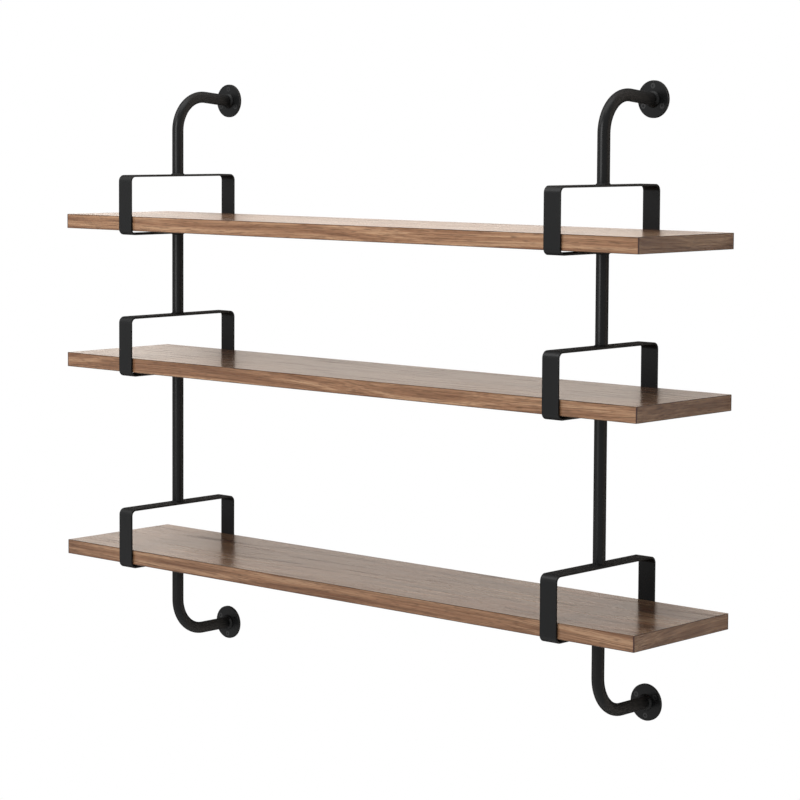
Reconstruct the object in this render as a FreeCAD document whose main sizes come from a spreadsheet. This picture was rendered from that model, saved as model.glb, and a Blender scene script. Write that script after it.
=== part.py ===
import FreeCAD, Part
import math
import os
import re
import Sketcher

# Wall-hung shelving unit: three veneered walnut shelves, each carried in a pair of flat-bar loops,
# and two steel uprights that join the loops with round tube and end in bent arms on wall flanges.
# Frame: origin at the centre of the upper left flange, on the wall. +X runs along the wall to the
# right, +Y points into the wall and +Z is up. Millimetres.

Vector = FreeCAD.Vector
Rotation = FreeCAD.Rotation

os.makedirs("parts", exist_ok=True)
doc = FreeCAD.newDocument("pipe_shelving_unit")

# Driving dimensions: each is set once, as a number. The angle is in degrees.
DRIVING = [
    ("shelf_length", 1200),
    ("shelf_depth", 230),
    ("shelf_thickness", 24),
    ("veneer_thickness", 1),
    ("lipping_thickness", 4),
    ("edge_easing", 0.6),
    ("upright_spacing", 900),
    ("upper_pitch", 235),
    ("lower_pitch", 321),
    ("headroom", 65),
    ("shelf_side_gap", 1.5),
    ("spacer_thickness", 4),
    ("spacer_diameter", 16),
    ("strap_width", 30),
    ("strap_thickness", 3),
    ("strap_corner_radius", 10.5),
    ("strap_edge_round", 0.6),
    ("strap_wall_gap", 2.5),
    ("tube_diameter", 19),
    ("tube_wall", 1.5),
    ("bend_radius", 57),
    ("arm_height", 125),
    ("upper_arm_angle", 5.5),
    ("flange_diameter", 56),
    ("flange_thickness", 4),
    ("flange_rim_round", 1),
    ("loop_weld_leg", 2),
    ("wall_weld_leg", 3.5),
    ("weld_toe", 0.4),
    ("shelf_screw_diameter", 4),
    ("shelf_screw_neck_diameter", 3),
    ("shelf_screw_length", 20),
    ("shelf_screw_tip_length", 4),
    ("shelf_screw_head_diameter", 8),
    ("shelf_screw_head_rim", 0.4),
    ("shelf_screw_spacing", 90),
    ("shelf_screw_clearance", 0.2),
    ("wall_screw_count", 3),
    ("wall_screw_circle", 40),
    ("wall_screw_diameter", 4.5),
    ("wall_screw_neck_diameter", 3.2),
    ("wall_screw_length", 40),
    ("wall_screw_tip_length", 6),
    ("wall_screw_head_diameter", 8.4),
    ("wall_screw_head_rim", 0.3),
    ("wall_screw_clearance", 0.5),
    ("recess_width", 1),
    ("recess_length", 4),
    ("recess_depth", 1.2),
]

# Worked out from the driving dimensions. Places along Y are distances from the wall.
DERIVED = [
    ("loop_inner_depth", "=shelf_depth + 2 * shelf_side_gap"),
    ("loop_depth", "=loop_inner_depth + 2 * strap_thickness"),
    ("loop_inner_height", "=shelf_thickness + spacer_thickness + headroom"),
    ("loop_height", "=loop_inner_height + 2 * strap_thickness"),
    ("tube_axis_reach", "=strap_wall_gap + loop_depth / 2"),
    ("arm_reach", "=tube_axis_reach - flange_thickness"),
    ("upper_bend_reach", "=bend_radius * (1 + sin(upper_arm_angle * 1deg))"),
    ("upper_arm_gradient", "=tan(upper_arm_angle * 1deg)"),
    ("upper_arm_fall", "=(arm_reach - upper_bend_reach) * upper_arm_gradient"),
    ("shelf_back_reach", "=strap_wall_gap + strap_thickness + shelf_side_gap"),
    ("shelf_front_reach", "=shelf_back_reach + shelf_depth"),
    ("shelf_overhang", "=(shelf_length - upright_spacing) / 2"),
    ("core_length", "=shelf_length - 2 * lipping_thickness"),
    ("core_depth", "=shelf_depth - 2 * lipping_thickness"),
    ("core_thickness", "=shelf_thickness - 2 * veneer_thickness"),
    ("upper_loop_top", "=-arm_height"),
    ("middle_loop_top", "=upper_loop_top - upper_pitch"),
    ("lower_loop_top", "=middle_loop_top - lower_pitch"),
    ("shelf_lift", "=strap_thickness + spacer_thickness"),
    ("upper_shelf_base", "=upper_loop_top - loop_height + shelf_lift"),
    ("middle_shelf_base", "=middle_loop_top - loop_height + shelf_lift"),
    ("lower_shelf_base", "=lower_loop_top - loop_height + shelf_lift"),
    ("lower_flange_height", "=lower_loop_top - loop_height - arm_height"),
    ("shelf_screw_neck_length", "=shelf_lift"),
    ("shelf_screw_bite", "=shelf_screw_length - shelf_screw_neck_length"),
    ("shelf_screw_hole", "=shelf_screw_diameter + shelf_screw_clearance"),
    ("wall_screw_neck_length", "=flange_thickness"),
    ("wall_screw_hole", "=wall_screw_diameter + wall_screw_clearance"),
]

# A countersunk head is a thin rim and a cone of 90 degrees, and its countersink takes both.
COUNTERSINK_ANGLE = 90
for screw in ("shelf_screw", "wall_screw"):
    rim = f"{screw}_head_rim"
    head = f"{screw}_head_diameter"
    DERIVED.append((f"{screw}_head_height", f"={rim} + ({head} - {screw}_neck_diameter) / 2"))
    DERIVED.append((f"{screw}_countersink", f"={head} + 2 * {rim}"))

sheet = doc.addObject("Spreadsheet::Sheet", "Sizes")
for row, (alias, value) in enumerate(DRIVING + DERIVED, start=1):
    sheet.set(f"A{row}", alias)
    sheet.set(f"B{row}", str(value))
    sheet.setAlias(f"B{row}", alias)
doc.recompute()

# A sketch numbers the points of a line, arc or circle, and counts its own two axes from -1 down.
START, END, CENTRE = range(1, 4)
HORIZONTAL_AXIS, VERTICAL_AXIS = range(-1, -3, -1)
ORIGIN = (HORIZONTAL_AXIS, START)


def sized(formula):
    """The formula with each sheet alias in it written as a reference to the sheet."""
    return re.sub(r"[a-z_]+", lambda word: "Sizes." + word.group(), formula)


def amount(formula):
    """The formula's value, for a sketch to be drawn at before its constraints hold it."""
    return float(sheet.evalExpression(sized(formula)))


def place(piece, x=None, y=None, z=None, rotation=None):
    """Turns a piece and ties its position to the sheet."""
    if rotation is not None:
        piece.Placement = FreeCAD.Placement(Vector(), rotation)
    for axis, formula in (("x", x), ("y", y), ("z", z)):
        if formula is not None:
            piece.setExpression(f"Placement.Base.{axis}", sized(formula))


def new_body(label, several_solids=False):
    body = doc.addObject("PartDesign::Body", label)
    body.Label = label
    body.AllowCompound = several_solids
    return body


def origin_feature(body, role):
    return [f for f in body.Origin.OriginFeatures if f.Role == role][0]


def new_sketch(body, plane, lift=None):
    """A sketch on one of the body's own origin planes, lifted along the plane's normal."""
    sketch = body.newObject("Sketcher::SketchObject", body.Name + "_" + plane[:2].lower() + "_sketch")
    sketch.AttachmentSupport = [(origin_feature(body, plane), "")]
    sketch.MapMode = "FlatFace"
    if lift is not None:
        sketch.setExpression("AttachmentOffset.Base.z", sized(lift))
    return sketch


def constrain(sketch, kind, *where, size=None):
    """Adds a constraint, and ties its value to the sheet where it has one."""
    if size is None:
        sketch.addConstraint(Sketcher.Constraint(kind, *where))
        return
    index = sketch.addConstraint(Sketcher.Constraint(kind, *where, amount(size)))
    name = f"size_{index}"
    sketch.renameConstraint(index, name)
    sketch.setExpression("Constraints." + name, sized(size))


def add_circle(sketch, diameter, x=None, y=None):
    """A circle on the sketch's origin, or with its centre x and y away from it."""
    centre = Vector(amount(x or "0"), amount(y or "0"), 0)
    circle = sketch.addGeometry(Part.Circle(centre, Vector(0, 0, 1), amount(diameter) / 2))
    constrain(sketch, "Diameter", circle, size=diameter)
    for kind, axis, formula in (("DistanceX", VERTICAL_AXIS, x), ("DistanceY", HORIZONTAL_AXIS, y)):
        if formula is None:
            constrain(sketch, "PointOnObject", circle, CENTRE, axis)
        else:
            constrain(sketch, kind, *ORIGIN, circle, CENTRE, size=formula)


def add_polygon(sketch, points):
    """Straight lines from point to point and back to the first."""
    lines = []
    for i, point in enumerate(points):
        following = points[(i + 1) % len(points)]
        lines.append(sketch.addGeometry(Part.LineSegment(Vector(*point), Vector(*following))))
    for i, line in enumerate(lines):
        constrain(sketch, "Coincident", line, END, lines[(i + 1) % len(lines)], START)
    return lines


def add_centred_rectangle(sketch, width, height, radius):
    """A rectangle with round corners, centred on the sketch's origin."""
    half_width = amount(width) / 2
    half_height = amount(height) / 2
    corner = amount(radius)
    inner_x = half_width - corner
    inner_y = half_height - corner
    ends = [
        ((-inner_x, -half_height), (inner_x, -half_height)),
        ((half_width, -inner_y), (half_width, inner_y)),
        ((inner_x, half_height), (-inner_x, half_height)),
        ((-half_width, inner_y), (-half_width, -inner_y)),
    ]
    centres = [(inner_x, -inner_y), (inner_x, inner_y), (-inner_x, inner_y), (-inner_x, -inner_y)]
    lines = []
    arcs = []
    for i in range(4):
        line = Part.LineSegment(Vector(*ends[i][0]), Vector(*ends[i][1]))
        lines.append(sketch.addGeometry(line))
    for i in range(4):
        circle = Part.Circle(Vector(*centres[i]), Vector(0, 0, 1), corner)
        arc = Part.ArcOfCircle(circle, math.radians(90 * (i - 1)), math.radians(90 * i))
        arcs.append(sketch.addGeometry(arc))
    for i in range(4):
        constrain(sketch, "Tangent", lines[i], END, arcs[i], START)
        constrain(sketch, "Tangent", arcs[i], END, lines[(i + 1) % 4], START)
        constrain(sketch, "Horizontal" if i % 2 == 0 else "Vertical", lines[i])
    for arc in arcs[1:]:
        constrain(sketch, "Equal", arcs[0], arc)
    constrain(sketch, "Symmetric", arcs[0], CENTRE, arcs[2], CENTRE, *ORIGIN)
    constrain(sketch, "Radius", arcs[0], size=radius)
    constrain(sketch, "DistanceX", lines[3], START, lines[1], START, size=width)
    constrain(sketch, "DistanceY", lines[0], START, lines[2], START, size=height)


def add_pad(body, sketch, length, symmetric=False):
    pad = body.newObject("PartDesign::Pad", body.Name + "_pad")
    pad.Profile = sketch
    pad.SideType = "Symmetric" if symmetric else "One side"
    pad.setExpression("Length", sized(length))
    doc.recompute()
    return pad


UP = Vector(0, 0, 1)
DOWN = Vector(0, 0, -1)
RIGHT = Vector(1, 0, 0)
LEFT = Vector(-1, 0, 0)


def faces_towards(face, direction):
    return face.normalAt(0, 0).isEqual(direction, 1e-6)


def round_edges(body, feature, radius, directions):
    """Rounds every edge of the faces that look along one of the directions."""
    names = [
        f"Face{i}" for i, face in enumerate(feature.Shape.Faces, start=1)
        if any(faces_towards(face, direction) for direction in directions)
    ]
    fillet = body.newObject("PartDesign::Fillet", body.Name + "_fillet")
    fillet.Base = (feature, names)
    fillet.setExpression("Radius", sized(radius))
    doc.recompute()
    return fillet


def drill(body, sketch, diameter, depth, countersink=None, upward=False):
    """Drills at the sketch's circles, and checks that the drill met the solid."""
    before = body.Shape.Volume
    hole = body.newObject("PartDesign::Hole", body.Name + "_hole")
    hole.Profile = sketch
    doc.recompute()
    hole.DepthType = "Dimension"
    hole.DrillPoint = "Flat"
    hole.Reversed = upward
    hole.setExpression("Diameter", sized(diameter))
    hole.setExpression("Depth", sized(depth))
    if countersink is not None:
        hole.HoleCutType = "Countersink"
        hole.HoleCutCustomValues = True
        hole.HoleCutCountersinkAngle = COUNTERSINK_ANGLE
        hole.setExpression("HoleCutDiameter", sized(countersink))
    doc.recompute()
    assert body.Shape.Volume < before, f"{body.Label}: the drill missed"
    return hole


def repeat_at_screws(body, feature=None):
    """Repeats a feature, or else the whole body, at the four places where a shelf is screwed down."""
    pattern = body.newObject("PartDesign::LinearPattern", body.Name + "_pattern")
    if feature is None:
        pattern.TransformMode = "Whole shape"
    else:
        pattern.Originals = [feature]
    pattern.Direction = (origin_feature(body, "X_Axis"), [""])
    pattern.Direction2 = (origin_feature(body, "Y_Axis"), [""])
    pattern.Occurrences = 2
    pattern.Occurrences2 = 2
    pattern.setExpression("Length", sized("upright_spacing"))
    pattern.setExpression("Length2", sized("shelf_screw_spacing"))
    body.Tip = pattern
    doc.recompute()


# Shelves. Every piece of a shelf is drawn in the shelf's own frame: its corner is the shelf's
# lower front left one, +X runs along the shelf and +Y to the wall.

SHELVES = ("upper", "middle", "lower")
SIDES = {"left": "0", "right": "upright_spacing"}


def place_on_shelf(piece, shelf, along="0", across="0", angle=0):
    place(
        piece,
        x=f"-shelf_overhang + {along}",
        y=f"-shelf_front_reach + {across}",
        z=f"{shelf}_shelf_base",
        rotation=Rotation(Vector(0, 0, 1), angle),
    )


def add_sheet(body, length, depth, thickness, inset=None, lift=None):
    """A flat sheet, set in from the shelf's edges and lifted from its underside."""
    slab = body.newObject("PartDesign::AdditiveBox", body.Name + "_slab")
    slab.setExpression("Length", sized(length))
    slab.setExpression("Width", sized(depth))
    slab.setExpression("Height", sized(thickness))
    if inset is not None:
        slab.setExpression("Placement.Base.x", sized(inset))
        slab.setExpression("Placement.Base.y", sized(inset))
    if lift is not None:
        slab.setExpression("Placement.Base.z", sized(lift))
    doc.recompute()
    return slab


def drill_for_screws(body, depth, lift=None):
    """The four screw holes in a shelf's underside."""
    sketch = new_sketch(body, "XY_Plane", lift=lift)
    front_screw = "(shelf_depth - shelf_screw_spacing) / 2"
    add_circle(sketch, "shelf_screw_hole", x="shelf_overhang", y=front_screw)
    hole = drill(body, sketch, "shelf_screw_hole", depth, upward=True)
    repeat_at_screws(body, hole)


def make_core(shelf):
    """The board under the veneer, with blind holes for the screws."""
    body = new_body(f"{shelf}_shelf_core")
    add_sheet(
        body, "core_length", "core_depth", "core_thickness",
        inset="lipping_thickness", lift="veneer_thickness",
    )
    depth = "shelf_screw_bite - veneer_thickness + shelf_screw_clearance"
    drill_for_screws(body, depth, lift="veneer_thickness")
    place_on_shelf(body, shelf)
    return body


def make_top_veneer(shelf):
    body = new_body(f"{shelf}_shelf_top_veneer")
    slab = add_sheet(
        body, "shelf_length", "shelf_depth", "veneer_thickness",
        lift="shelf_thickness - veneer_thickness",
    )
    round_edges(body, slab, "edge_easing", [UP])
    place_on_shelf(body, shelf)
    return body


def make_bottom_veneer(shelf):
    body = new_body(f"{shelf}_shelf_bottom_veneer")
    slab = add_sheet(body, "shelf_length", "shelf_depth", "veneer_thickness")
    round_edges(body, slab, "edge_easing", [DOWN])
    drill_for_screws(body, "veneer_thickness")
    place_on_shelf(body, shelf)
    return body


def make_lipping(shelf, side, length, along, across, angle):
    """A solid walnut strip along one edge of the core, mitred at both ends."""
    body = new_body(f"{shelf}_shelf_{side}_lipping")
    sketch = new_sketch(body, "XY_Plane", lift="veneer_thickness")
    far_end = amount(length)
    width = amount("lipping_thickness")
    outer, far_mitre, inner, near_mitre = add_polygon(
        sketch, [(0, 0), (far_end, 0), (far_end - width, width), (width, width)]
    )
    constrain(sketch, "Coincident", outer, START, *ORIGIN)
    constrain(sketch, "Horizontal", outer)
    constrain(sketch, "Horizontal", inner)
    constrain(sketch, "DistanceX", outer, START, outer, END, size=length)
    constrain(sketch, "DistanceY", outer, START, inner, END, size="lipping_thickness")
    for mitre in (near_mitre, far_mitre):
        constrain(sketch, "DistanceX", mitre, END, mitre, START, size="lipping_thickness")
    add_pad(body, sketch, "core_thickness")
    place_on_shelf(body, shelf, along, across, angle)
    return body


def make_screw(label, screw, offset="0"):
    """A countersunk wood screw that stands on its head, set off from the body's axis along Y.

    Its neck is plain and ends where the screw enters the wood, and the thread stands out from there.
    """
    body = new_body(label, several_solids=True)
    sketch = new_sketch(body, "XZ_Plane", lift=f"-({offset})")
    head_radius = f"{screw}_head_diameter / 2"
    neck_radius = f"{screw}_neck_diameter / 2"
    thread_radius = f"{screw}_diameter / 2"
    rim_height = f"{screw}_head_rim"
    head_height = f"{screw}_head_height"
    neck_length = f"{screw}_neck_length"
    thread_end = f"{screw}_length - {screw}_tip_length"
    point_end = f"{screw}_length"
    corners = [
        ("0", point_end),
        ("0", "0"),
        (head_radius, "0"),
        (head_radius, rim_height),
        (neck_radius, head_height),
        (neck_radius, neck_length),
        (thread_radius, neck_length),
        (thread_radius, thread_end),
    ]
    axis, face, rim, cone, neck, shoulder, thread, point = add_polygon(
        sketch, [(amount(radius), amount(height)) for radius, height in corners]
    )
    constrain(sketch, "Coincident", axis, END, *ORIGIN)
    for line in (face, shoulder):
        constrain(sketch, "Horizontal", line)
    for line in (axis, rim, neck, thread):
        constrain(sketch, "Vertical", line)
    for line, height in (
        (axis, point_end), (cone, rim_height), (neck, head_height), (shoulder, neck_length),
        (point, thread_end),
    ):
        constrain(sketch, "DistanceY", *ORIGIN, line, START, size=height)
    for line, radius in ((rim, head_radius), (neck, neck_radius), (thread, thread_radius)):
        constrain(sketch, "DistanceX", *ORIGIN, line, START, size=radius)
    turned = body.newObject("PartDesign::Revolution", body.Name + "_turned")
    turned.Profile = sketch
    turned.ReferenceAxis = (sketch, ["V_Axis"])
    turned.Angle = 360
    doc.recompute()
    for name, long_side, short_side in (
        ("long_slot", "recess_length", "recess_width"),
        ("cross_slot", "recess_width", "recess_length"),
    ):
        slot = body.newObject("PartDesign::SubtractiveBox", f"{body.Name}_{name}")
        slot.setExpression("Length", sized(long_side))
        slot.setExpression("Width", sized(short_side))
        slot.setExpression("Height", sized("recess_depth"))
        slot.setExpression("Placement.Base.x", sized(f"-{long_side} / 2"))
        slot.setExpression("Placement.Base.y", sized(f"{offset} - {short_side} / 2"))
        doc.recompute()
    return body


def make_shelf_screws(shelf):
    """Four screws, driven up through the loops' bottom bars into one shelf."""
    body = make_screw(f"{shelf}_shelf_screws", "shelf_screw")
    repeat_at_screws(body)
    place(body, y="-tube_axis_reach - shelf_screw_spacing / 2", z=f"{shelf}_loop_top - loop_height")
    return body


def make_spacers(shelf):
    """Four rubber washers between the loops' bottom bars and one shelf."""
    body = new_body(f"{shelf}_shelf_spacers", several_solids=True)
    sketch = new_sketch(body, "XY_Plane")
    add_circle(sketch, "spacer_diameter")
    add_circle(sketch, "shelf_screw_hole")
    add_pad(body, sketch, "spacer_thickness")
    repeat_at_screws(body)
    place(
        body,
        y="-tube_axis_reach - shelf_screw_spacing / 2",
        z=f"{shelf}_loop_top - loop_height + strap_thickness",
    )
    return body


# Uprights. A loop is drawn about its own centre, and a tube or an arm from the strap it stands on.


def make_loop(side, shelf):
    """A closed loop of flat bar with two countersunk screw holes in its bottom bar."""
    body = new_body(f"{side}_{shelf}_loop")
    sketch = new_sketch(body, "YZ_Plane")
    add_centred_rectangle(sketch, "loop_depth", "loop_height", "strap_corner_radius")
    add_centred_rectangle(
        sketch, "loop_inner_depth", "loop_inner_height", "strap_corner_radius - strap_thickness"
    )
    bar = add_pad(body, sketch, "strap_width", symmetric=True)
    round_edges(body, bar, "strap_edge_round", [LEFT, RIGHT])
    hole_sketch = new_sketch(body, "XY_Plane", lift="-loop_height / 2")
    add_circle(hole_sketch, "shelf_screw_hole", y="shelf_screw_spacing / 2")
    hole = drill(
        body, hole_sketch, "shelf_screw_hole", "strap_thickness",
        countersink="shelf_screw_countersink", upward=True,
    )
    mirror = body.newObject("PartDesign::Mirrored", body.Name + "_mirror")
    mirror.Originals = [hole]
    mirror.MirrorPlane = (origin_feature(body, "XZ_Plane"), [""])
    body.Tip = mirror
    doc.recompute()
    place(body, x=SIDES[side], y="-tube_axis_reach", z=f"{shelf}_loop_top - loop_height / 2")
    return body


def add_tube_section(body):
    sketch = new_sketch(body, "XY_Plane")
    add_circle(sketch, "tube_diameter")
    add_circle(sketch, "tube_diameter - 2 * tube_wall")
    return sketch


def make_tube(side, above, below):
    """A straight tube from the loop below up to the loop above."""
    body = new_body(f"{side}_{above}_tube")
    add_pad(body, add_tube_section(body), f"{above}_pitch - loop_height")
    place(body, x=SIDES[side], y="-tube_axis_reach", z=f"{below}_loop_top")
    return body


def cut_end(body):
    """Saws an arm off where it reaches its flange, and checks that the saw met the tube."""
    before = body.Shape.Volume
    sketch = new_sketch(body, "XZ_Plane", lift="-(arm_reach)")
    add_circle(sketch, "2 * tube_diameter", y="arm_height")
    cut = body.newObject("PartDesign::Pocket", body.Name + "_end_cut")
    cut.Profile = sketch
    cut.setExpression("Length", sized("2 * flange_thickness"))
    doc.recompute()
    assert body.Shape.Volume < before, f"{body.Label}: the saw missed"


def make_arm(side, end):
    """A bent tube from an end loop to its wall flange, cut off flat at the flange's face.

    The upper arm falls to the wall by an angle, and its bend is that much more than a right angle.
    """
    body = new_body(f"{side}_{end}_arm")
    section = add_tube_section(body)
    path = new_sketch(body, "YZ_Plane")
    falls = end == "upper"
    angle = math.radians(amount("upper_arm_angle")) if falls else 0
    fall = amount("upper_arm_fall") if falls else 0
    radius = amount("bend_radius")
    height = amount("arm_height")
    stub = amount("flange_thickness")
    at_flange = Vector(amount("arm_reach"), height)
    bend_end = Vector(radius * (1 + math.sin(angle)), height + fall)
    centre = bend_end - Vector(radius * math.sin(angle), radius * math.cos(angle))
    circle = Part.Circle(centre, Vector(0, 0, 1), radius)
    reach_end = at_flange + Vector(stub, -stub * math.tan(angle))
    rise = path.addGeometry(Part.LineSegment(Vector(), Vector(0, centre.y)))
    bend = path.addGeometry(Part.ArcOfCircle(circle, math.radians(90) - angle, math.radians(180)))
    reach = path.addGeometry(Part.LineSegment(bend_end, reach_end))
    joint = path.addGeometry(Part.Point(at_flange), True)
    constrain(path, "Coincident", rise, START, *ORIGIN)
    constrain(path, "Vertical", rise)
    constrain(path, "Tangent", rise, END, bend, END)
    constrain(path, "Tangent", bend, START, reach, START)
    constrain(path, "Radius", bend, size="bend_radius")
    constrain(path, "DistanceX", *ORIGIN, joint, START, size="arm_reach")
    constrain(path, "DistanceY", *ORIGIN, joint, START, size="arm_height")
    constrain(path, "PointOnObject", joint, START, reach)
    constrain(path, "DistanceX", *ORIGIN, reach, END, size="tube_axis_reach")
    if falls:
        constrain(path, "DistanceY", joint, START, reach, START, size="upper_arm_fall")
    else:
        constrain(path, "Horizontal", reach)
    doc.recompute()
    pipe = body.newObject("PartDesign::AdditivePipe", body.Name + "_pipe")
    pipe.Profile = section
    pipe.Spine = (path, ["Edge1", "Edge2", "Edge3"])
    doc.recompute()
    cut_end(body)
    if falls:
        place(body, x=SIDES[side], y="-tube_axis_reach", z="upper_loop_top")
    else:
        turned = Rotation(Vector(0, 1, 0), 180)
        place(body, SIDES[side], "-tube_axis_reach", "lower_loop_top - loop_height", turned)
    return body


FLANGE_HEIGHTS = {"upper": "0", "lower": "lower_flange_height"}
HALF_TURN = Rotation(Vector(0, 0, 1), 180)
FRONT_TO_ROOM = Rotation(Vector(1, 0, 0), 90)
POINT_TO_WALL = Rotation(Vector(1, 0, 0), -90)


def repeat_round_flange(body, feature=None):
    """Repeats a feature, or else the whole body, at the screw places of a flange."""
    pattern = body.newObject("PartDesign::PolarPattern", body.Name + "_pattern")
    if feature is None:
        pattern.TransformMode = "Whole shape"
    else:
        pattern.Originals = [feature]
    pattern.Axis = (origin_feature(body, "Z_Axis"), [""])
    pattern.Angle = 360
    pattern.setExpression("Occurrences", sized("wall_screw_count"))
    body.Tip = pattern
    doc.recompute()


def make_flange(side, end):
    """A round wall plate with countersunk screw holes, drawn face up and then stood on the wall."""
    body = new_body(f"{side}_{end}_flange")
    sketch = new_sketch(body, "XY_Plane")
    add_circle(sketch, "flange_diameter")
    plate = add_pad(body, sketch, "flange_thickness")
    round_edges(body, plate, "flange_rim_round", [UP])
    hole_sketch = new_sketch(body, "XY_Plane", lift="flange_thickness")
    add_circle(hole_sketch, "wall_screw_hole", y="wall_screw_circle / 2")
    hole = drill(
        body, hole_sketch, "wall_screw_hole", "flange_thickness",
        countersink="wall_screw_countersink",
    )
    repeat_round_flange(body, hole)
    turn = FRONT_TO_ROOM if end == "upper" else FRONT_TO_ROOM.multiply(HALF_TURN)
    place(body, x=SIDES[side], z=FLANGE_HEIGHTS[end], rotation=turn)
    return body


def make_wall_screws(side, end):
    """The screws of one flange, with their heads in its countersinks and their points in the wall."""
    body = make_screw(f"{side}_{end}_wall_screws", "wall_screw", offset="wall_screw_circle / 2")
    repeat_round_flange(body)
    turn = POINT_TO_WALL.multiply(HALF_TURN) if end == "upper" else POINT_TO_WALL
    place(body, SIDES[side], "-flange_thickness", FLANGE_HEIGHTS[end], turn)
    return body


def weld_ring(name, leg, x, y, z, rotation, leaning=False):
    """A fillet weld round a tube's end, growing from the plate that the tube stands on.

    Its bore is the tube, which leans by the upper arm's angle where that arm meets its flange.
    """
    bead = doc.addObject("Part::Cone", name + "_bead")
    bead.setExpression("Radius1", sized(f"tube_diameter / 2 + {leg}"))
    bead.setExpression("Radius2", sized("tube_diameter / 2 + weld_toe"))
    bead.setExpression("Height", sized(leg))
    bore = doc.addObject("Part::Cylinder", name + "_bore")
    bore.setExpression("Radius", sized("tube_diameter / 2"))
    bore.setExpression("Height", sized(f"3 * {leg}"))
    if leaning:
        lean = Rotation(Vector(1, 0, 0), -amount("upper_arm_angle"))
        place(bore, y=f"-{leg} * upper_arm_gradient", z=f"-{leg}", rotation=lean)
        place(bead, y=f"{leg} * upper_arm_gradient / 2")
    else:
        place(bore, z=f"-{leg}")
    ring = doc.addObject("Part::Cut", name)
    ring.Base = bead
    ring.Tool = bore
    place(ring, x, y, z, rotation)
    return ring


def make_welds(side):
    """The weld rings at both ends of an upright's tubes and arms, as one group."""
    upward = Rotation()
    downward = Rotation(Vector(1, 0, 0), 180)
    x = SIDES[side]
    y = "-tube_axis_reach"
    rings = []
    for shelf in SHELVES:
        top = f"{shelf}_loop_top"
        name = f"{side}_{shelf}"
        rings.append(weld_ring(name + "_top_weld", "loop_weld_leg", x, y, top, upward))
        underside = f"{top} - loop_height"
        rings.append(weld_ring(name + "_base_weld", "loop_weld_leg", x, y, underside, downward))
    for end, height in FLANGE_HEIGHTS.items():
        name = f"{side}_{end}_wall_weld"
        place_on_flange = (x, "-flange_thickness", height, FRONT_TO_ROOM)
        rings.append(weld_ring(name, "wall_weld_leg", *place_on_flange, leaning=end == "upper"))
    group = doc.addObject("Part::Compound", f"{side}_upright_welds")
    group.Links = rings
    doc.recompute()
    return group


pieces = []
for shelf in SHELVES:
    pieces += [make_core(shelf), make_top_veneer(shelf), make_bottom_veneer(shelf)]
    for side, length, along, across, angle in (
        ("front", "shelf_length", "0", "0", 0),
        ("right", "shelf_depth", "shelf_length", "0", 90),
        ("back", "shelf_length", "shelf_length", "shelf_depth", 180),
        ("left", "shelf_depth", "0", "shelf_depth", 270),
    ):
        pieces.append(make_lipping(shelf, side, length, along, across, angle))
    pieces += [make_shelf_screws(shelf), make_spacers(shelf)]

for side in SIDES:
    pieces += [make_loop(side, shelf) for shelf in SHELVES]
    pieces += [make_tube(side, "upper", "middle"), make_tube(side, "lower", "lower")]
    for end in ("upper", "lower"):
        pieces += [make_arm(side, end), make_flange(side, end), make_wall_screws(side, end)]
    pieces.append(make_welds(side))

doc.recompute()
for item in doc.Objects:
    faults = {"Invalid", "Error"} & set(item.State)
    assert not faults, f"{item.Name}: {faults}"
for piece in pieces:
    shape = piece.Shape
    assert not shape.isNull() and shape.isValid(), f"{piece.Label}: bad shape"
    print(f"{piece.Label:32} {len(shape.Solids)} solids {shape.Volume:12.1f} mm3")
for piece in pieces:
    piece.Shape.exportStep(f"parts/{piece.Label}.step")
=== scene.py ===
import math

import bmesh
import bpy
from mathutils import Matrix, Vector


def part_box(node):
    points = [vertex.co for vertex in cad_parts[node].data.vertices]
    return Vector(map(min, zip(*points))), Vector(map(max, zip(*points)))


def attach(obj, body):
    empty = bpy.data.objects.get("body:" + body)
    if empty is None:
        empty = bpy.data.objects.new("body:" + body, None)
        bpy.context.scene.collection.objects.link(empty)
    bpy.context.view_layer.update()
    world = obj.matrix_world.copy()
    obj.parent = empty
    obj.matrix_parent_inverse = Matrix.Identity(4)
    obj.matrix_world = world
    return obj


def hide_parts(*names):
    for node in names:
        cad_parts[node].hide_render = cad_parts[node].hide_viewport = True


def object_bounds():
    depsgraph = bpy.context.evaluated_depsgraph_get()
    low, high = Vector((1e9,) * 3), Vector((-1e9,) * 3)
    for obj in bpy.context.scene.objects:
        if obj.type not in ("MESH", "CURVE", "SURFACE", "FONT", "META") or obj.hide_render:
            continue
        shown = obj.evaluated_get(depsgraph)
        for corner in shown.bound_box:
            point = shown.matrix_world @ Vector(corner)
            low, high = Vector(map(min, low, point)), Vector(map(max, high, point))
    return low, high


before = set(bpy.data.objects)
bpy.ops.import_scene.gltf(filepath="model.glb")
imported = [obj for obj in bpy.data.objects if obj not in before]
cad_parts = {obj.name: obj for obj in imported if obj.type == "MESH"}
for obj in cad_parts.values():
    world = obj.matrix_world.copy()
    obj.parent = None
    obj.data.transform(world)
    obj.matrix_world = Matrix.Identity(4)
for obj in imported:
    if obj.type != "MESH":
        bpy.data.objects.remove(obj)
cad_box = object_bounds()


# Shelf cores
# Each core is a board of pressed wood chips, sawn to size. It is lipped on all four edges and
# veneered on both faces, so no chip shows once the shelf is made.

SHELVES = ("upper", "middle", "lower")
CHIP_SIZE = 0.004
CHIP_COLOURS = ((0.30, 0.20, 0.11), (0.46, 0.33, 0.20), (0.56, 0.43, 0.28))
CHIP_STRENGTH = 0.4
CHIP_DEPTH = 0.0003
CHIP_ROUGHNESS = 0.85


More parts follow.
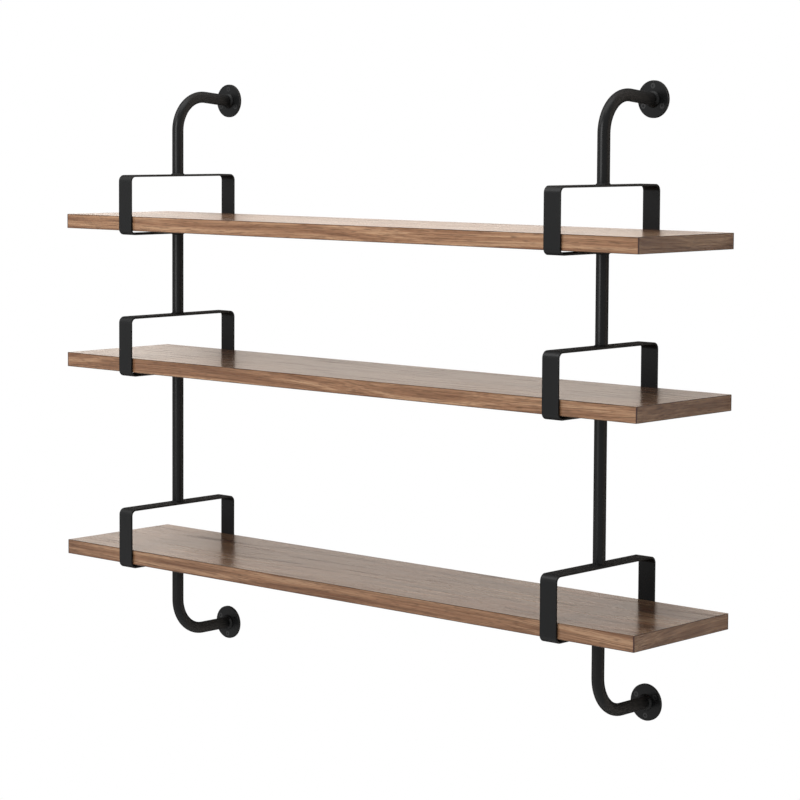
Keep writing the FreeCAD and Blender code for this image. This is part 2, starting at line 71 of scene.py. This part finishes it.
def add_node(tree, kind, inputs=None, **settings):
    """Adds a shader node, with its settings, and its inputs as numbers or as links."""
    node = tree.nodes.new("ShaderNode" + kind)
    for name, value in settings.items():
        setattr(node, name, value)
    for socket, value in (inputs or {}).items():
        if isinstance(value, bpy.types.NodeSocket):
            tree.links.new(value, node.inputs[socket])
        else:
            node.inputs[socket].default_value = value
    return node


def new_finish(name):
    """A new material: gives it with its node tree and its surface shader."""
    finish = bpy.data.materials.new(name)
    finish.use_nodes = True
    tree = finish.node_tree
    return finish, tree, tree.nodes["Principled BSDF"]


def piece_point(tree):
    """Where a point of a piece lies, in metres."""
    return add_node(tree, "TexCoord").outputs["Object"]


def colour_ramp(tree, fac, stops):
    """Colours placed along a value from 0 to 1."""
    ramp = add_node(tree, "ValToRGB", {"Fac": fac})
    elements = ramp.color_ramp.elements
    while len(elements) < len(stops):
        elements.new(0.5)
    for element, (position, colour) in zip(elements, stops):
        element.position = position
        element.color = (*colour, 1.0)
    return ramp.outputs["Color"]


def link(tree, output, shader, socket):
    tree.links.new(output, shader.inputs[socket])


def add_relief(tree, shader, height, strength, depth):
    """Lets the surface stand up and down with a height from 0 to 1."""
    bump = add_node(tree, "Bump", {"Height": height, "Strength": strength, "Distance": depth})
    link(tree, bump.outputs["Normal"], shader, "Normal")


def finish_node(name, finish):
    """Gives a piece of the frame its finish."""
    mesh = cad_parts[name].data
    mesh.materials.clear()
    mesh.materials.append(finish)


def make_chip_board():
    finish, tree, shader = new_finish("pressed_chip_board")
    chips = add_node(
        tree, "TexVoronoi",
        {"Vector": piece_point(tree), "Scale": 1 / CHIP_SIZE, "Randomness": 1.0},
        feature="F1",
    )
    tone = add_node(tree, "SeparateColor", {"Color": chips.outputs["Color"]}).outputs["Red"]
    stops = list(zip((0.0, 0.5, 1.0), CHIP_COLOURS))
    link(tree, colour_ramp(tree, tone, stops), shader, "Base Color")
    add_relief(tree, shader, chips.outputs["Distance"], CHIP_STRENGTH, CHIP_DEPTH)
    shader.inputs["Roughness"].default_value = CHIP_ROUGHNESS
    return finish


chip_board = make_chip_board()
for shelf in SHELVES:
    finish_node(f"{shelf}_shelf_core", chip_board)


# Shelf veneers
# A sheet of flat-cut walnut lies on each face of the core and runs over the lippings. Its grain
# runs along the shelf, its pores stay open, and it has a thin satin lacquer.

# Bends, streaks, clouds, late-wood lines, flecks, pores and fibres lie so many to the metre along
# the grain. Across it they do too, or, where a share stands, so many to the width of a streak.
SLOW_BENDS = (1.4, 4.0)
QUICK_BENDS = (7.0, 30.0)
STREAKS_ALONG = 4.0
STREAK_RAGGEDNESS = 0.55
CLOUDS_ALONG = 2.2
CLOUDS_PER_STREAK = 0.14
LATE_LINES_ALONG = 4.0
LATE_LINES_PER_STREAK = 1.3
FLECKS = (48.0, 780.0)
PORES = (110.0, 2600.0)
FIBRES = (16.0, 1500.0)

# A tone is made up of rings, streaks and clouds. Each span is the part of a noise that turns from
# nothing to the full effect.
RING_SHARE = 0.30
STREAK_SHARE = 0.35
CLOUD_SHARE = 0.35
TONE_SPAN = (0.38, 0.62)
RED_SPAN = (0.46, 0.66)
LATE_SPAN = (0.55, 0.68)
FLECK_SPAN = (0.54, 0.68)
PORE_SPAN = (0.62, 0.70)

RED_WOOD = (0.200, 0.082, 0.040, 1.0)
RED_STRENGTH = 0.5
LATE_WOOD = (0.045, 0.020, 0.010, 1.0)
PORE_COLOUR = (0.030, 0.012, 0.006, 1.0)
PORE_STRENGTH = 0.45

LACQUER_ROUGHNESS = 0.18
PORE_ROUGHNESS = 0.16
LATE_ROUGHNESS = 0.18
FIBRE_HEIGHT = 0.25
GRAIN_STRENGTH = 0.3
GRAIN_DEPTH = 0.00004

# Ring and streak widths and the reach of the bends are in metres.
VENEER = {
    "tones": (
        (0.08, (0.066, 0.032, 0.016)),
        (0.36, (0.132, 0.071, 0.038)),
        (0.64, (0.195, 0.112, 0.062)),
        (0.94, (0.280, 0.175, 0.103)),
    ),
    "pith": (0.0, 0.11),
    "ring": 0.014,
    "streak": 0.0085,
    "slow_reach": 0.075,
    "quick_reach": 0.007,
    "late": 0.70,
    "fleck": 0.20,
    "specular": 0.19,
}
VENEER_EDGE = (0.040, 0.017, 0.010, 1.0)
EDGE_STRENGTH = 0.75
LEVEL_SPAN = (0.9, 0.4)


def maths(tree, operation, a, b=0.0):
    return add_node(tree, "Math", {0: a, 1: b}, operation=operation).outputs["Value"]


def vector_maths(tree, operation, a, b=(0.0, 0.0, 0.0)):
    return add_node(tree, "VectorMath", {0: a, 1: b}, operation=operation).outputs["Vector"]


def map_range(tree, value, span, to_low=0.0, to_high=1.0):
    low, high = span
    node = add_node(
        tree, "MapRange",
        {"Value": value, "From Min": low, "From Max": high, "To Min": to_low, "To Max": to_high},
    )
    return node.outputs["Result"]


def stretched_noise(tree, point, along, across, detail=2.0, roughness=0.5):
    """Noise in grains so many to the metre, along the first axis and across it."""
    scaled = vector_maths(tree, "MULTIPLY", point, (along, across, across))
    return add_node(
        tree, "TexNoise",
        {"Vector": scaled, "Scale": 1.0, "Detail": detail, "Roughness": roughness},
    )


def mix_colour(tree, fac, a, b):
    return add_node(tree, "Mix", {0: fac, 6: a, 7: b}, data_type="RGBA").outputs[2]


def shelf_middle(shelf):
    low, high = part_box(f"{shelf}_shelf_core")
    return (low + high) / 2


def walnut_point(tree, centre, turn, patch):
    """A point in the log's own axes: the first runs along the grain."""
    place = vector_maths(tree, "SUBTRACT", piece_point(tree), tuple(centre))
    turned = add_node(
        tree, "VectorRotate", {"Vector": place, "Angle": turn}, rotation_type="Z_AXIS"
    )
    return vector_maths(tree, "ADD", turned.outputs["Vector"], patch)


def bend_grain(tree, point, bends, reach):
    """Moves a point across the grain by a slow noise, so that straight grain wanders."""
    noise = stretched_noise(tree, point, *bends, detail=1.0).outputs["Color"]
    centred = vector_maths(tree, "SUBTRACT", noise, (0.5, 0.5, 0.5))
    shift = vector_maths(tree, "MULTIPLY", centred, (0.0, reach, reach))
    return vector_maths(tree, "ADD", point, shift)


def ring_radius(tree, point, pith):
    """How far a point lies from the pith, which runs along the grain."""
    axes = add_node(tree, "SeparateXYZ", {"Vector": point})
    across = maths(tree, "SUBTRACT", axes.outputs["Y"], pith[0])
    depth = maths(tree, "SUBTRACT", axes.outputs["Z"], pith[1])
    squares = maths(
        tree, "ADD", maths(tree, "POWER", across, 2.0), maths(tree, "POWER", depth, 2.0)
    )
    return maths(tree, "SQRT", squares)


def wood_colour(tree, log, cut):
    """The wood's colour between its late-wood lines: rings, streaks, clouds and a red drift."""
    ring_count = maths(tree, "DIVIDE", ring_radius(tree, log, cut["pith"]), cut["ring"])
    rings = add_node(
        tree, "TexNoise",
        {"W": ring_count, "Scale": 1.0, "Detail": 2.0, "Roughness": 0.5},
        noise_dimensions="1D",
    ).outputs["Fac"]
    streaks = stretched_noise(
        tree, log, STREAKS_ALONG, 1 / cut["streak"], roughness=STREAK_RAGGEDNESS
    )
    clouds = stretched_noise(
        tree, log, CLOUDS_ALONG, CLOUDS_PER_STREAK / cut["streak"], detail=1.0
    ).outputs["Fac"]
    tone = maths(tree, "MULTIPLY", rings, RING_SHARE)
    tone = maths(tree, "ADD", tone, maths(tree, "MULTIPLY", streaks.outputs["Fac"], STREAK_SHARE))
    tone = maths(tree, "ADD", tone, maths(tree, "MULTIPLY", clouds, CLOUD_SHARE))
    colour = colour_ramp(tree, map_range(tree, tone, TONE_SPAN), cut["tones"])
    hue = add_node(tree, "SeparateColor", {"Color": streaks.outputs["Color"]}).outputs["Green"]
    return mix_colour(tree, map_range(tree, hue, RED_SPAN, 0.0, RED_STRENGTH), colour, RED_WOOD)


def make_walnut(name, centre, cut, turn=0.0, patch=(0.0, 0.0, 0.0)):
    """Lacquered walnut sawn from one place of a log, with its tree, shader and colour."""
    finish, tree, shader = new_finish(name)
    point = walnut_point(tree, centre, turn, patch)
    log = bend_grain(tree, point, SLOW_BENDS, cut["slow_reach"])
    log = bend_grain(tree, log, QUICK_BENDS, cut["quick_reach"])
    colour = wood_colour(tree, log, cut)
    lines = stretched_noise(
        tree, log, LATE_LINES_ALONG, LATE_LINES_PER_STREAK / cut["streak"]
    ).outputs["Fac"]
    late = map_range(tree, lines, LATE_SPAN, 0.0, cut["late"])
    colour = mix_colour(tree, late, colour, LATE_WOOD)
    flecks = stretched_noise(tree, log, *FLECKS, detail=1.0).outputs["Fac"]
    fleck = map_range(tree, flecks, FLECK_SPAN, 0.0, cut["fleck"])
    colour = mix_colour(tree, fleck, colour, LATE_WOOD)
    pores = stretched_noise(tree, log, *PORES, detail=1.0).outputs["Fac"]
    pore = map_range(tree, pores, PORE_SPAN)
    colour = mix_colour(tree, maths(tree, "MULTIPLY", pore, PORE_STRENGTH), colour, PORE_COLOUR)
    link(tree, colour, shader, "Base Color")
    rough_pores = maths(tree, "MULTIPLY", pore, PORE_ROUGHNESS)
    rough_lines = maths(tree, "MULTIPLY", late, LATE_ROUGHNESS)
    open_grain = maths(tree, "ADD", rough_pores, rough_lines)
    link(tree, maths(tree, "ADD", open_grain, LACQUER_ROUGHNESS), shader, "Roughness")
    fibres = stretched_noise(tree, log, *FIBRES).outputs["Fac"]
    relief = maths(tree, "SUBTRACT", maths(tree, "MULTIPLY", fibres, FIBRE_HEIGHT), pore)
    add_relief(tree, shader, relief, GRAIN_STRENGTH, GRAIN_DEPTH)
    shader.inputs["Specular IOR Level"].default_value = cut["specular"]
    return finish, tree, shader, colour


def darken_sawn_edge(tree, shader, colour):
    """The thin edge of a veneer shows its end grain and the glue under it."""
    normal = add_node(tree, "NewGeometry").outputs["Normal"]
    upright = add_node(tree, "SeparateXYZ", {"Vector": normal})
    level = maths(tree, "ABSOLUTE", upright.outputs["Z"])
    edge = map_range(tree, level, LEVEL_SPAN, 0.0, EDGE_STRENGTH)
    link(tree, mix_colour(tree, edge, colour, VENEER_EDGE), shader, "Base Color")


VENEER_PATCHES = {
    "upper_top": (0.0, 0.0, 0.0),
    "upper_bottom": (3.1, 0.02, 0.0),
    "middle_top": (7.3, -0.01, 0.0),
    "middle_bottom": (11.7, 0.03, 0.0),
    "lower_top": (15.2, 0.0, 0.0),
    "lower_bottom": (19.9, -0.02, 0.0),
}
for shelf in SHELVES:
    for face in ("top", "bottom"):
        veneer, tree, shader, colour = make_walnut(
            f"walnut_veneer_{shelf}_{face}", shelf_middle(shelf), VENEER,
            patch=VENEER_PATCHES[f"{shelf}_{face}"],
        )
        darken_sawn_edge(tree, shader, colour)
        finish_node(f"{shelf}_shelf_{face}_veneer", veneer)


# Shelf lippings
# Solid walnut strips close the edges of the core. They are mitred at the corners, where the glue
# shows as a dark line, and sanded flush with the veneer before the lacquer.

LONG_STRIP = {
    "tones": (
        (0.06, (0.165, 0.078, 0.039)),
        (0.34, (0.245, 0.126, 0.066)),
        (0.64, (0.330, 0.183, 0.101)),
        (0.94, (0.435, 0.262, 0.152)),
    ),
    "pith": (0.0, 0.045),
    "ring": 0.0050,
    "streak": 0.0014,
    "slow_reach": 0.035,
    "quick_reach": 0.0018,
    "late": 0.50,
    "fleck": 0.42,
    "specular": 0.32,
}
SHORT_STRIP = {
    **LONG_STRIP,
    "ring": 0.0060,
    "streak": 0.0022,
    "slow_reach": 0.110,
    "quick_reach": 0.006,
    "fleck": 0.25,
}
# Painted light and shade: the long strips are made paler on the upper shelf and darker on the lower
# one, for the light that falls differently on each shelf's front.
LONG_PAINTED_LIGHT_AND_SHADE = {"upper": 1.14, "middle": 1.06, "lower": 0.95}
# Painted light: the short strips on the shelf ends are made paler all through than the long ones,
# to make up for the lamps lighting the end faces less than the fronts.
SHORT_PAINTED_LIGHTENING = {"upper": 1.28, "middle": 1.26, "lower": 1.34}
LONG_PATCHES = {"upper": 41.3, "middle": 52.6, "lower": 73.9}
SHORT_PATCH_STEP = 3.0
MITRE_LINE = 0.0020
MITRE_COLOUR = (0.040, 0.010, 0.007, 1.0)


def paler(cut, paleness):
    """The same cut of wood, paler or darker all through."""
    tones = [(place, tuple(paleness * c for c in colour)) for place, colour in cut["tones"]]
    return {**cut, "tones": tones}


def corner_distance(tree):
    """How far a point on a shelf's edge lies from the nearest corner, seen from above."""
    low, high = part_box("upper_shelf_top_veneer")
    axes = add_node(tree, "SeparateXYZ", {"Vector": piece_point(tree)})
    total = 0.0
    for axis, near, far in (("X", low.x, high.x), ("Y", low.y, high.y)):
        from_middle = maths(
            tree, "ABSOLUTE", maths(tree, "SUBTRACT", axes.outputs[axis], (near + far) / 2)
        )
        from_end = maths(
            tree, "ABSOLUTE", maths(tree, "SUBTRACT", from_middle, (far - near) / 2)
        )
        total = maths(tree, "ADD", total, from_end)
    return total


def darken_mitre(tree, shader, colour):
    line = map_range(tree, corner_distance(tree), (MITRE_LINE, MITRE_LINE / 2))
    link(tree, mix_colour(tree, line, colour, MITRE_COLOUR), shader, "Base Color")


# Each lipping material carries the painted light and shade of its shelf, and the short strips also
# carry the painted light on the end faces.
for shelf in SHELVES:
    start = LONG_PATCHES[shelf]
    for name, cut, turn, patch, sides in (
        ("long", paler(LONG_STRIP, LONG_PAINTED_LIGHT_AND_SHADE[shelf]), 0.0,
         (start, 0.0, 0.0), ("front", "back")),
        ("short", paler(SHORT_STRIP, SHORT_PAINTED_LIGHTENING[shelf]), math.pi / 2,
         (start + SHORT_PATCH_STEP, 0.0, 0.0), ("left", "right")),
    ):
        lipping, tree, shader, colour = make_walnut(
            f"walnut_lipping_{shelf}_{name}", shelf_middle(shelf), cut, turn=turn, patch=patch
        )
        darken_mitre(tree, shader, colour)
        for side in sides:
            finish_node(f"{shelf}_shelf_{side}_lipping", lipping)


# Spacers
# Thin rubber washers between the steel loops and the shelf. They are punched from sheet and keep
# the powder coat off the lacquer.

RUBBER_DUST = 900.0
DUST_SPAN = (0.3, 0.7)
RUBBER_COLOURS = ((0.012, 0.012, 0.012), (0.024, 0.023, 0.022))
RUBBER_ROUGHNESS = (0.72, 0.88)
RUBBER_STRENGTH = 0.3
RUBBER_DEPTH = 0.00005


def even_noise(tree, per_metre, detail):
    """Noise in grains so many to the metre, alike in every direction."""
    point = piece_point(tree)
    return stretched_noise(tree, point, per_metre, per_metre, detail=detail).outputs["Fac"]


def make_rubber():
    finish, tree, shader = new_finish("washer_rubber")
    dust = even_noise(tree, RUBBER_DUST, 3.0)
    stops = list(zip(DUST_SPAN, RUBBER_COLOURS))
    link(tree, colour_ramp(tree, dust, stops), shader, "Base Color")
    link(tree, map_range(tree, dust, DUST_SPAN, *RUBBER_ROUGHNESS), shader, "Roughness")
    add_relief(tree, shader, dust, RUBBER_STRENGTH, RUBBER_DEPTH)
    return finish


rubber = make_rubber()
for shelf in SHELVES:
    finish_node(f"{shelf}_shelf_spacers", rubber)


# Loops, tubes, arms and flanges
# Each upright is a welded steel frame: flat bar bent into closed loops, round tube between them,
# and bent arms on round wall plates. The whole frame is powder coated satin black.

SIDES = ("left", "right")
FRAME_PIECES = (
    "upper_loop", "middle_loop", "lower_loop", "upper_tube", "lower_tube",
    "upper_arm", "lower_arm", "upper_flange", "lower_flange",
)
ORANGE_PEEL = 700.0
GRIT = 4000.0
SMEARS = 14.0
COAT_SPAN = (0.3, 0.7)
POWDER_COLOUR = (0.0044, 0.0046, 0.0048)
DARKEST_GRIT = 0.75
PALEST_GRIT = 1.35
POWDER_SPECULAR = 0.18
POWDER_ROUGHNESS = (0.25, 0.32)
EDGE_ON_SPAN = (0.22, 0.70)
EDGE_ON_ROUGHNESS = 0.70
GRIT_HEIGHT = 0.15
PEEL_STRENGTH = 0.3
PEEL_DEPTH = 0.000015


def make_powder_coat():
    """The coat is smoother or rougher in smears, and rougher still where it is seen edge-on."""
    finish, tree, shader = new_finish("satin_black_powder_coat")
    peel = even_noise(tree, ORANGE_PEEL, 2.0)
    grit = even_noise(tree, GRIT, 1.0)
    smears = even_noise(tree, SMEARS, 3.0)
    colours = [
        tuple(shade * c for c in POWDER_COLOUR) for shade in (DARKEST_GRIT, PALEST_GRIT)
    ]
    stops = list(zip(COAT_SPAN, colours))
    link(tree, colour_ramp(tree, grit, stops), shader, "Base Color")
    gloss = map_range(tree, smears, COAT_SPAN, *POWDER_ROUGHNESS)
    slant = add_node(tree, "LayerWeight", {"Blend": 0.5}).outputs["Facing"]
    edge_on = map_range(tree, slant, EDGE_ON_SPAN, 0.0, EDGE_ON_ROUGHNESS)
    link(tree, maths(tree, "ADD", gloss, edge_on), shader, "Roughness")
    relief = maths(tree, "ADD", peel, maths(tree, "MULTIPLY", grit, GRIT_HEIGHT))
    add_relief(tree, shader, relief, PEEL_STRENGTH, PEEL_DEPTH)
    shader.inputs["Specular IOR Level"].default_value = POWDER_SPECULAR
    return finish


powder_coat = make_powder_coat()
for side in SIDES:
    for piece in FRAME_PIECES:
        finish_node(f"{side}_{piece}", powder_coat)


# Welds
# A small fillet weld runs round each end of every tube and arm. It was laid in short steps, which
# left ripples, and it lies under the same powder coat.

WELD_RIPPLES = 22
STEPS_PER_RIPPLE = 8
WELD_STEPS = WELD_RIPPLES * STEPS_PER_RIPPLE
RIPPLE_HEIGHT = 0.00022
RIPPLE_ROUNDNESS = 0.6
LOOP_WELD_LEG = 0.002
FLANGE_WELD_LEG = 0.0035
WELD_TIP = 0.0001
WELD_TOE = 0.0004
UPPER_ARM_ANGLE = 5.5
ARM_GRADIENTS = {"upper": math.tan(math.radians(UPPER_ARM_ANGLE)), "lower": 0.0}
tube_low, tube_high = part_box("left_upper_tube")
TUBE_RADIUS = (tube_high.x - tube_low.x) / 2


def weld_section(leg, ripple):
    """The weld's section at one place of the ring, as radius and height, anticlockwise.

    The shares of the leg give the section its bulge, and the ripple lifts it.
    """
    swell = RIPPLE_HEIGHT * (ripple - 1.0)
    outer = TUBE_RADIUS + leg
    return (
        (TUBE_RADIUS, 0.0),
        (outer + swell, 0.0),
        (outer - 0.15 * leg + swell, 0.35 * leg),
        (TUBE_RADIUS + 0.52 * leg + swell, 0.62 * leg + swell),
        (TUBE_RADIUS + WELD_TOE + 0.5 * swell, 0.88 * leg + 0.5 * swell),
        (TUBE_RADIUS + WELD_TIP, leg),
        (TUBE_RADIUS, leg),
    )


def add_weld(mesh, centre, rotation, leg, gradient=0.0):
    """A ring of weld that stands on the plate at the centre and grows along the turned Z axis.

    It follows its tube, which moves along the turned Y axis by the gradient as it leaves the plate.
    """
    rings = []
    for step in range(WELD_STEPS):
        angle = 2 * math.pi * step / WELD_STEPS
        phase = (step / STEPS_PER_RIPPLE) % 1.0
        ripple = math.sin(math.pi * phase) ** RIPPLE_ROUNDNESS
        ring = []
        for radius, height in weld_section(leg, ripple):
            across = radius * math.sin(angle) + gradient * height
            point = Vector((radius * math.cos(angle), across, height))
            ring.append(mesh.verts.new(centre + rotation @ point))
        rings.append(ring)
    for i, ring in enumerate(rings):
        following = rings[(i + 1) % WELD_STEPS]
        for j in range(len(ring)):
            k = (j + 1) % len(ring)
            mesh.faces.new((ring[j], following[j], following[k], ring[k]))


UPWARD = Matrix.Identity(3)
DOWNWARD = Matrix.Rotation(math.pi, 3, "X")
TO_ROOM = Matrix.Rotation(math.pi / 2, 3, "X")
for side in SIDES:
    beads = bmesh.new()
    tube_low, tube_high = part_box(f"{side}_upper_tube")
    axis = (tube_low + tube_high) / 2
    for shelf in SHELVES:
        loop_low, loop_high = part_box(f"{side}_{shelf}_loop")
        add_weld(beads, Vector((axis.x, axis.y, loop_high.z)), UPWARD, LOOP_WELD_LEG)
        add_weld(beads, Vector((axis.x, axis.y, loop_low.z)), DOWNWARD, LOOP_WELD_LEG)
    for end in ("upper", "lower"):
        plate_low, plate_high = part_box(f"{side}_{end}_flange")
        foot = Vector((axis.x, plate_low.y, (plate_low.z + plate_high.z) / 2))
        add_weld(beads, foot, TO_ROOM, FLANGE_WELD_LEG, ARM_GRADIENTS[end])
    bmesh.ops.recalc_face_normals(beads, faces=beads.faces)
    mesh = bpy.data.meshes.new(f"{side}_weld_beads")
    beads.to_mesh(mesh)
    beads.free()
    mesh.polygons.foreach_set("use_smooth", [True] * len(mesh.polygons))
    mesh.materials.append(powder_coat)
    welds = bpy.data.objects.new(f"{side}_weld_beads", mesh)
    bpy.context.scene.collection.objects.link(welds)
    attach(welds, "root")
    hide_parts(f"{side}_upright_welds")


# Shelf screws and wall screws
# Countersunk wood screws hold each shelf down from below and each flange to the wall. They are
# blackened steel with a dry finish, a little worn where the driver and the hand touched them.

OXIDE_COLOUR = (0.0035, 0.0035, 0.0038, 1.0)
WORN_STEEL = (0.040, 0.038, 0.036, 1.0)
RUBBED_SPOTS = 700.0
WORN_SPAN = (0.64, 0.80)
RUB_SPAN = (0.2, 0.8)
OXIDE_ROUGHNESS = (0.42, 0.22)
OXIDE_SPECULAR = 0.45


def make_black_oxide():
    finish, tree, shader = new_finish("blackened_screw_steel")
    rub = even_noise(tree, RUBBED_SPOTS, 4.0)
    worn = map_range(tree, rub, WORN_SPAN)
    link(tree, mix_colour(tree, worn, OXIDE_COLOUR, WORN_STEEL), shader, "Base Color")
    link(tree, map_range(tree, rub, RUB_SPAN, *OXIDE_ROUGHNESS), shader, "Roughness")
    shader.inputs["Specular IOR Level"].default_value = OXIDE_SPECULAR
    return finish


black_oxide = make_black_oxide()
for shelf in SHELVES:
    finish_node(f"{shelf}_shelf_screws", black_oxide)
for side in SIDES:
    for end in ("upper", "lower"):
        finish_node(f"{side}_{end}_wall_screws", black_oxide)


# Studio floor
# A pale floor lies well under the unit. It keeps a soft shadow near the unit and turns white
# further away, and the light that it throws up is that of pale paint.

WHITE = (1.0, 1.0, 1.0, 1.0)
FLOOR_DROP = 1.0
FLOOR_SIZE = 60.0
FLOOR_SQUARES = 8
FLOOR_PAINT = (0.80, 0.80, 0.80, 1.0)
FLOOR_SHADOWED = (0.30, 0.30, 0.30, 1.0)
FLOOR_GLOW = 0.80
FLOOR_FADE = (1.2, 3.0)


def shows_surround(tree):
    """1 for rays that should see the pale surround itself, 0 for the light it sheds."""
    rays = add_node(tree, "LightPath")
    seen = maths(
        tree, "MAXIMUM", rays.outputs["Is Camera Ray"], rays.outputs["Is Glossy Ray"]
    )
    return maths(tree, "MAXIMUM", seen, rays.outputs["Is Transmission Ray"])


def add_emission(tree, colour, strength):
    return add_node(tree, "Emission", {"Color": colour, "Strength": strength}).outputs[0]


def mix_shader(tree, fac, a, b):
    return add_node(tree, "MixShader", {0: fac, 1: a, 2: b}).outputs[0]


def add_stage_sheet(name, size, squares, turn, place, finish):
    """A square sheet of the studio, which is no part of the unit."""
    mesh = bpy.data.meshes.new(name)
    sheet = bmesh.new()
    bmesh.ops.create_grid(sheet, x_segments=squares, y_segments=squares, size=size / 2)
    bmesh.ops.rotate(sheet, verts=sheet.verts, matrix=turn)
    sheet.to_mesh(mesh)
    sheet.free()
    mesh.materials.append(finish)
    stage = bpy.data.objects.new(name, mesh)
    stage.location = place
    bpy.context.scene.collection.objects.link(stage)


def make_floor_paint():
    finish, tree, shader = new_finish("pale_floor")
    shader.inputs["Base Color"].default_value = FLOOR_PAINT
    shader.inputs["Roughness"].default_value = 1.0
    shader.inputs["Specular IOR Level"].default_value = 0.0
    shadowed = add_node(tree, "BsdfDiffuse", {"Color": FLOOR_SHADOWED}).outputs[0]
    glow = add_emission(tree, WHITE, FLOOR_GLOW)
    near_floor = add_node(tree, "AddShader", {0: shadowed, 1: glow}).outputs[0]
    far_floor = add_emission(tree, WHITE, 1.0)
    away = add_node(tree, "VectorMath", {0: piece_point(tree)}, operation="LENGTH")
    fade = map_range(tree, away.outputs["Value"], FLOOR_FADE)
    pale = mix_shader(tree, fade, near_floor, far_floor)
    either = mix_shader(tree, shows_surround(tree), shader.outputs[0], pale)
    link(tree, either, tree.nodes["Material Output"], "Surface")
    return finish


low, high = (Vector(corner) for corner in cad_box)
middle = (low + high) / 2
floor_height = low.z - FLOOR_DROP
add_stage_sheet(
    "studio_floor", FLOOR_SIZE, FLOOR_SQUARES, Matrix.Identity(3),
    (middle.x, middle.y, floor_height), make_floor_paint(),
)


# Studio wall
# The wall stands behind the flanges and takes their screws. The camera sees it white, and the
# lacquer and the paint mirror it as the lamps light it. Light from behind passes through it.

WALL_SIZE = 8.0
WALL_SQUARES = 4
WALL_GAP = 0.0002
WALL_COLOUR = (0.95, 0.86, 0.78, 1.0)
WALL_GLOW = 0.35


def make_wall_paint():
    finish, tree, shader = new_finish("white_wall")
    tree.nodes.remove(shader)
    rays = add_node(tree, "LightPath")
    front = maths(tree, "SUBTRACT", 1.0, add_node(tree, "NewGeometry").outputs["Backfacing"])
    looked_at = maths(tree, "MULTIPLY", front, rays.outputs["Is Camera Ray"])
    mirrored = maths(tree, "MULTIPLY", front, rays.outputs["Is Glossy Ray"])
    clear = add_node(tree, "BsdfTransparent").outputs[0]
    lit = add_node(tree, "BsdfDiffuse", {"Color": WALL_COLOUR}).outputs[0]
    glow = add_emission(tree, WALL_COLOUR, WALL_GLOW)
    plaster = add_node(tree, "AddShader", {0: lit, 1: glow}).outputs[0]
    unseen = mix_shader(tree, mirrored, clear, plaster)
    either = mix_shader(tree, looked_at, unseen, add_emission(tree, WHITE, 1.0))
    link(tree, either, tree.nodes["Material Output"], "Surface")
    return finish


add_stage_sheet(
    "studio_wall", WALL_SIZE, WALL_SQUARES, Matrix.Rotation(math.pi / 2, 3, "X"),
    (middle.x, WALL_GAP, floor_height + WALL_SIZE / 2), make_wall_paint(),
)


# Surround
# White to the camera and to anything that mirrors it, and a weak even light on the unit.

SURROUND_LIGHT = 0.24

world = bpy.data.worlds.new("pale_surround")
bpy.context.scene.world = world
world.use_nodes = True
tree = world.node_tree
shed = tree.nodes["Background"]
shed.inputs["Color"].default_value = WHITE
shed.inputs["Strength"].default_value = SURROUND_LIGHT
seen = add_node(tree, "Background", {"Color": WHITE, "Strength": 1.0})
either = mix_shader(tree, shows_surround(tree), shed.outputs[0], seen.outputs[0])
link(tree, either, tree.nodes["World Output"], "Surface")


# Lamps
# Three soft boxes: a large one in front of the unit at eye level, a key light from the upper left,
# and one overhead. Angles are in degrees, from the front and from level.


def add_soft_box(name, azimuth, elevation, distance, width, height, radiance, target):
    """A rectangular lamp that faces the target from an azimuth and elevation in degrees."""
    turn = math.radians(azimuth)
    lift = math.radians(elevation)
    away = Vector(
        (math.sin(turn) * math.cos(lift), -math.cos(turn) * math.cos(lift), math.sin(lift))
    )
    lamp = bpy.data.lights.new(name, "AREA")
    lamp.shape = "RECTANGLE"
    lamp.size = width
    lamp.size_y = height
    lamp.energy = radiance * math.pi * width * height
    box = bpy.data.objects.new(name, lamp)
    box.location = target + away * distance
    box.rotation_euler = (-away).to_track_quat("-Z", "Y").to_euler()
    box.visible_camera = False
    bpy.context.scene.collection.objects.link(box)


add_soft_box(
    "front_soft_box", azimuth=-2, elevation=10, distance=3.2, width=1.6, height=2.2,
    radiance=5.7, target=middle + Vector((0.0, 0.0, 0.2)),
)
add_soft_box(
    "key_soft_box", azimuth=-48, elevation=36, distance=2.6, width=1.6, height=1.2,
    radiance=3.2, target=middle + Vector((0.0, 0.0, 0.35)),
)
add_soft_box(
    "top_soft_box", azimuth=-20, elevation=80, distance=2.6, width=3.0, height=2.0,
    radiance=2.4, target=middle,
)


# Camera
# It stands in front of the unit to its right, a little above the upper shelf, and looks slightly
# down. Angles are in degrees, and the lens and the shift are given in pixels of a square frame.

FRAME_PIXELS = 800
LENS_PIXELS = 2532.0
RAISED_PIXELS = 100
SENSOR_WIDTH = 36.0
CAMERA_PLACE = Vector((3.1356, -3.0514, -0.0451))
CAMERA_TURN = 41.922
CAMERA_DIP = 3.881
CAMERA_ROLL = 0.330

camera_data = bpy.data.cameras.new("studio_camera")
camera_data.sensor_width = SENSOR_WIDTH
camera_data.lens = LENS_PIXELS / FRAME_PIXELS * SENSOR_WIDTH
camera_data.shift_y = -RAISED_PIXELS / FRAME_PIXELS
camera = bpy.data.objects.new("studio_camera", camera_data)
aim = (
    Matrix.Rotation(math.radians(CAMERA_TURN), 3, "Z")
    @ Matrix.Rotation(math.radians(90 - CAMERA_DIP), 3, "X")
    @ Matrix.Rotation(math.radians(CAMERA_ROLL), 3, "Z")
)
camera.matrix_world = Matrix.Translation(CAMERA_PLACE) @ aim.to_4x4()
bpy.context.scene.collection.objects.link(camera)
bpy.context.scene.camera = camera
bpy.context.scene.view_settings.view_transform = "Standard"
